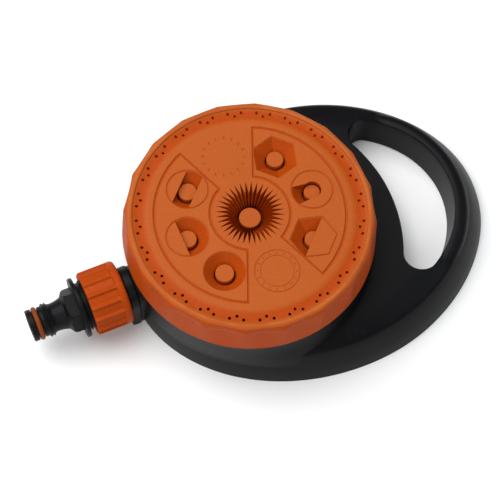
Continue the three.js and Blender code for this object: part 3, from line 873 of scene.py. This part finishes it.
def cover_screw(index):
    """A pan-head screw with a cross recess on a plain shank."""
    head = [(3, 1.9), (3, 0.9), *arc(2.2, 1.1, 0.8, -20, -90, 4)]
    screw = turned([(1.1, screw_high.z), (1.3, screw_high.z - 0.8), (1.3, 1.9), *head], steps=32)
    for long_x in (True, False):
        sizes = (1.9, 0.33) if long_x else (0.33, 1.9)
        screw = cut(screw, block((-sizes[0], -sizes[1], -0.5), (sizes[0], sizes[1], 1.3)))
    placed(screw, about_axis(45 + 90 * index, 48))
    name = f"cover_screw_{index + 1}"
    return finished(screw, f"{name}_fine", "base", steel, [name])


def detent_spring():
    """The click pin's coil spring, wound to the size of the frame's spring."""
    gauge, turns, steps = 0.35, 4, 96
    middle = (spring_low + spring_high) / 2
    radius = (spring_high.x - spring_low.x) / 2 - gauge
    rise = spring_high.z - spring_low.z - 2 * gauge
    path = []
    for share in (i / steps for i in range(steps + 1)):
        turn = 2 * math.pi * turns * share
        path.append((middle.x + radius * math.cos(turn), middle.y + radius * math.sin(turn),
                     spring_low.z + gauge + rise * share))
    coil = wire(path, gauge, closed=False)
    piece = finished(coil, "detent_spring_fine", "base", steel, ["detent_spring"])
    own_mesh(piece)


base_shell()
bottom_cover()
detent_spring()
for screw_index in range(4):
    cover_screw(screw_index)


# ---------------------------------------------------------------- inlet
# Drawn with +Z pointing out along the inlet and +X pointing up.

ALONG_INLET = Matrix.Translation((0, 0, INLET_Z)) @ Matrix.Rotation(-math.pi / 2, 4, "Y")


def swivel_nut():
    """The knurled nut: fifteen wide flutes, closed at the collar and open at the front."""
    collar_end = NUT_START + 3.7
    profile = [(9.6, NUT_START + 0.3), (9.9, NUT_START), (14.5, NUT_START),
               *curve_through([(15.2, NUT_START + 0.15), (15.95, NUT_START + 0.7), (NUT_RADIUS - 0.05, NUT_START + 1.7)], 3),
               (NUT_RADIUS, NUT_START + 2.4), (NUT_RADIUS, collar_end - 0.15), (NUT_RADIUS, collar_end + 0.15),
               (NUT_RADIUS, collar_end + 0.6)]
    steps = 8
    length = NUT_END - 1.2 - collar_end - 0.6
    profile += [(NUT_RADIUS, collar_end + 0.6 + length * (i + 1) / steps) for i in range(steps)]
    profile += arc(NUT_RADIUS - 1.1, NUT_END - 1.1, 1.1, 15, 90, 5)
    profile += [(13.6, NUT_END), (13.2, NUT_END - 0.4), (13.2, 71.2), (9.6, 71.2)]
    bm = turned(profile, steps=360, ring=True)
    pitch = 360 / NUT_FLUTES
    for vert in bm.verts:
        radius = math.hypot(vert.co.x, vert.co.y)
        if radius < 14.5 or vert.co.z < collar_end:
            continue
        turn = math.degrees(math.atan2(vert.co.y, vert.co.x)) - 2
        across = abs((turn / pitch + 0.5) % 1 - 0.5) * 2
        end = min(1, max(0, (vert.co.z - collar_end) / 0.5))
        depth = 1.3 * end * min(1, max(0, (0.86 - across) * 4.5))
        vert.co.x *= 1 - depth / radius
        vert.co.y *= 1 - depth / radius
    placed(bm, ALONG_INLET)
    return finished(bm, "swivel_nut_fine", "nut", orange_nut, ["swivel_nut"], crease=35)


def thread(radius, start, end, pitch):
    """A V-shaped thread wound round a neck."""
    bm = bmesh.new()
    half = pitch * 0.36
    corners = [bm.verts.new(place) for place in ((radius - 0.4, 0, start - half), (radius + 0.75, 0, start - half * 0.2),
                                                 (radius + 0.75, 0, start + half * 0.2), (radius - 0.4, 0, start + half))]
    face = bm.faces.new(corners)
    turns = (end - start) / pitch
    steps = round(turns * 48)
    bmesh.ops.spin(bm, geom=[face, *face.verts, *face.edges], cent=(0, 0, 0), axis=(0, 0, 1),
                   dvec=(0, 0, (end - start) / steps), angle=turns * 2 * math.pi, steps=steps)
    return merged(bm)


def nipple_hexagon():
    """The spanner hexagon, its front corners turned down a little."""
    radius = HEXAGON_FLATS / 2 / math.cos(math.radians(30))
    outline = arc(0, 0, radius, 30 - 9, 390 - 9, 6)[:-1]
    bar = lofted(at_height(outline, 92), at_height(outline, 99.5))
    cone = turned([(11.3, 91), (11.5, 92.2), (11.5, 96.2), (10.9, 97.6), (8.3, 99.4)], steps=96)
    return kept(bar, cone)


def connector_nipple():
    waist = curve_through([(9.3, 97), (8.3, 99.3), (7.5, 102.2), (7.2, 105)], 5)
    ridge = [(7.25, 105.6), (7.4, 106.1), *arc(8.35, 107, 0.4, 170, 20, 3), (8.1, 108.1),
             *arc(8.35, 109.1, 0.4, -20, 90, 3), (7.9, 109.8), (7.7, 110.2)]
    tip = arc(7.55, TIP_END - 0.55, 0.55, 0, 90, 4)
    profile = [(4.2, nipple_high.x * -1), (11.6, nipple_high.x * -1), (12.1, nipple_high.x * -1 + 0.5), (12.1, 90.5),
               (15.1, 90.5), (15.45, 90.8), (15.45, 92.25), (15.1, 92.6), (9.9, 92.6), (9.7, 92.9), *waist, *ridge,
               (7.7, 111.5), (7.5, 111.8), (5.8, 111.8), (5.8, 115), (7.9, 115), (8.1, 115.25), *tip,
               (5.2, TIP_END), (4.2, TIP_END - 1.2)]
    body = turned(profile, steps=144, ring=True)
    body = joined(body, cut(nipple_hexagon(), rod(8, 90, 101, 48)))
    body = joined(body, thread(12.1, 80.5, 89.6, 1.8))
    placed(body, ALONG_INLET)
    return finished(body, "connector_nipple_fine", "base", black, ["connector_nipple"], crease=30)


def connector_ring():
    """The seal ring near the tip, flattened a little where it sits in its groove."""
    wire_radius = (ring_high.x - ring_low.x) / 2
    middle_radius = ring_high.y - wire_radius
    section = [(x, y * 0.98) for x, y in arc(0, 0, wire_radius, 0, 360, 24)[:-1]]
    centre = -(ring_low.x + ring_high.x) / 2
    bm = turned([(middle_radius + x, centre + y) for x, y in section], steps=96, ring=True)
    placed(bm, ALONG_INLET)
    return finished(bm, "connector_ring_fine", "base", seal_orange, ["connector_ring"])


swivel_nut()
connector_nipple()
connector_ring()


# ---------------------------------------------------------------- pieces kept from the frame

KEPT_FINISHES = {
    "inlet_duct": black,
    "detent_plunger": black,
    "duct_seal": seal_black,
    "port_seal": seal_black,
    "hose_washer": seal_black,
    "port_wave_washer": steel,
    "spring_seat": steel,
    "pivot_spring": steel,
    "pivot_washer": steel,
    "pivot_screw": steel,
    "filter_screen": steel,
}
for node_name, node_finish in KEPT_FINISHES.items():
    node_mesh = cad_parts[node_name].data
    node_mesh.materials.clear()
    node_mesh.materials.append(node_finish)


# ---------------------------------------------------------------- studio

def studio_camera():
    """High above the front edge, turned a little toward the inlet."""
    elevation, azimuth, roll = (math.radians(x) for x in (66.62, -27.17, 4.26))
    turn = Matrix.Rotation(azimuth, 3, "Z")
    back = turn @ Vector((0, -math.cos(elevation), math.sin(elevation)))
    level = turn @ Vector((1, 0, 0))
    above = back.cross(level)
    right = math.cos(roll) * level + math.sin(roll) * above
    up = math.cos(roll) * above - math.sin(roll) * level
    camera = bpy.data.objects.new("studio_camera", bpy.data.cameras.new("studio_camera"))
    camera.data.lens = 113.26
    camera.data.sensor_width = 36
    place = Vector((0, 0, 59)) + 766.6 * back - 0.17 * right - 17.9 * up
    camera.matrix_world = Matrix.Translation(place * MM) @ Matrix((right, up, back)).transposed().to_4x4()
    bpy.context.scene.collection.objects.link(camera)
    bpy.context.scene.camera = camera


def softbox(name, place, size, power, colour=(1, 1, 1)):
    """A square soft light aimed at the turret."""
    light = bpy.data.lights.new(name, "AREA")
    light.size = size
    light.energy = power
    light.color = colour
    lamp = bpy.data.objects.new(name, light)
    lamp.location = place
    lamp.rotation_mode = "QUATERNION"
    lamp.rotation_quaternion = (Vector((0.02, 0, 0.03)) - Vector(place)).to_track_quat("-Z", "Y")
    bpy.context.scene.collection.objects.link(lamp)


def pale_floor():
    bm = bmesh.new()
    bmesh.ops.create_grid(bm, x_segments=1, y_segments=1, size=4)
    floor = as_object(bm, "studio_floor")
    paper = Finish("studio_paper", roughness=0.9)
    cloud = paper.noise(paper.place(), 3)
    paper.drive(base_color=paper.blend(cloud, (0.93, 0.93, 0.93, 1), (0.95, 0.95, 0.95, 1)))
    floor.data.materials.append(paper.material)


def studio_world():
    world = bpy.data.worlds.new("studio_world")
    world.use_nodes = True
    world.node_tree.nodes["Background"].inputs["Color"].default_value = (1, 1, 1, 1)
    world.node_tree.nodes["Background"].inputs["Strength"].default_value = 0.2
    bpy.context.scene.world = world


studio_camera()
pale_floor()
studio_world()
softbox("key_light", (-0.4, 0.42, 1.25), 1.4, 26)
softbox("fill_light", (0.9, -0.2, 1), 0.6, 2, (0.85, 0.92, 1))
softbox("front_light", (-0.5, -0.95, 0.75), 0.9, 5)
bpy.context.scene.view_settings.view_transform = "Standard"
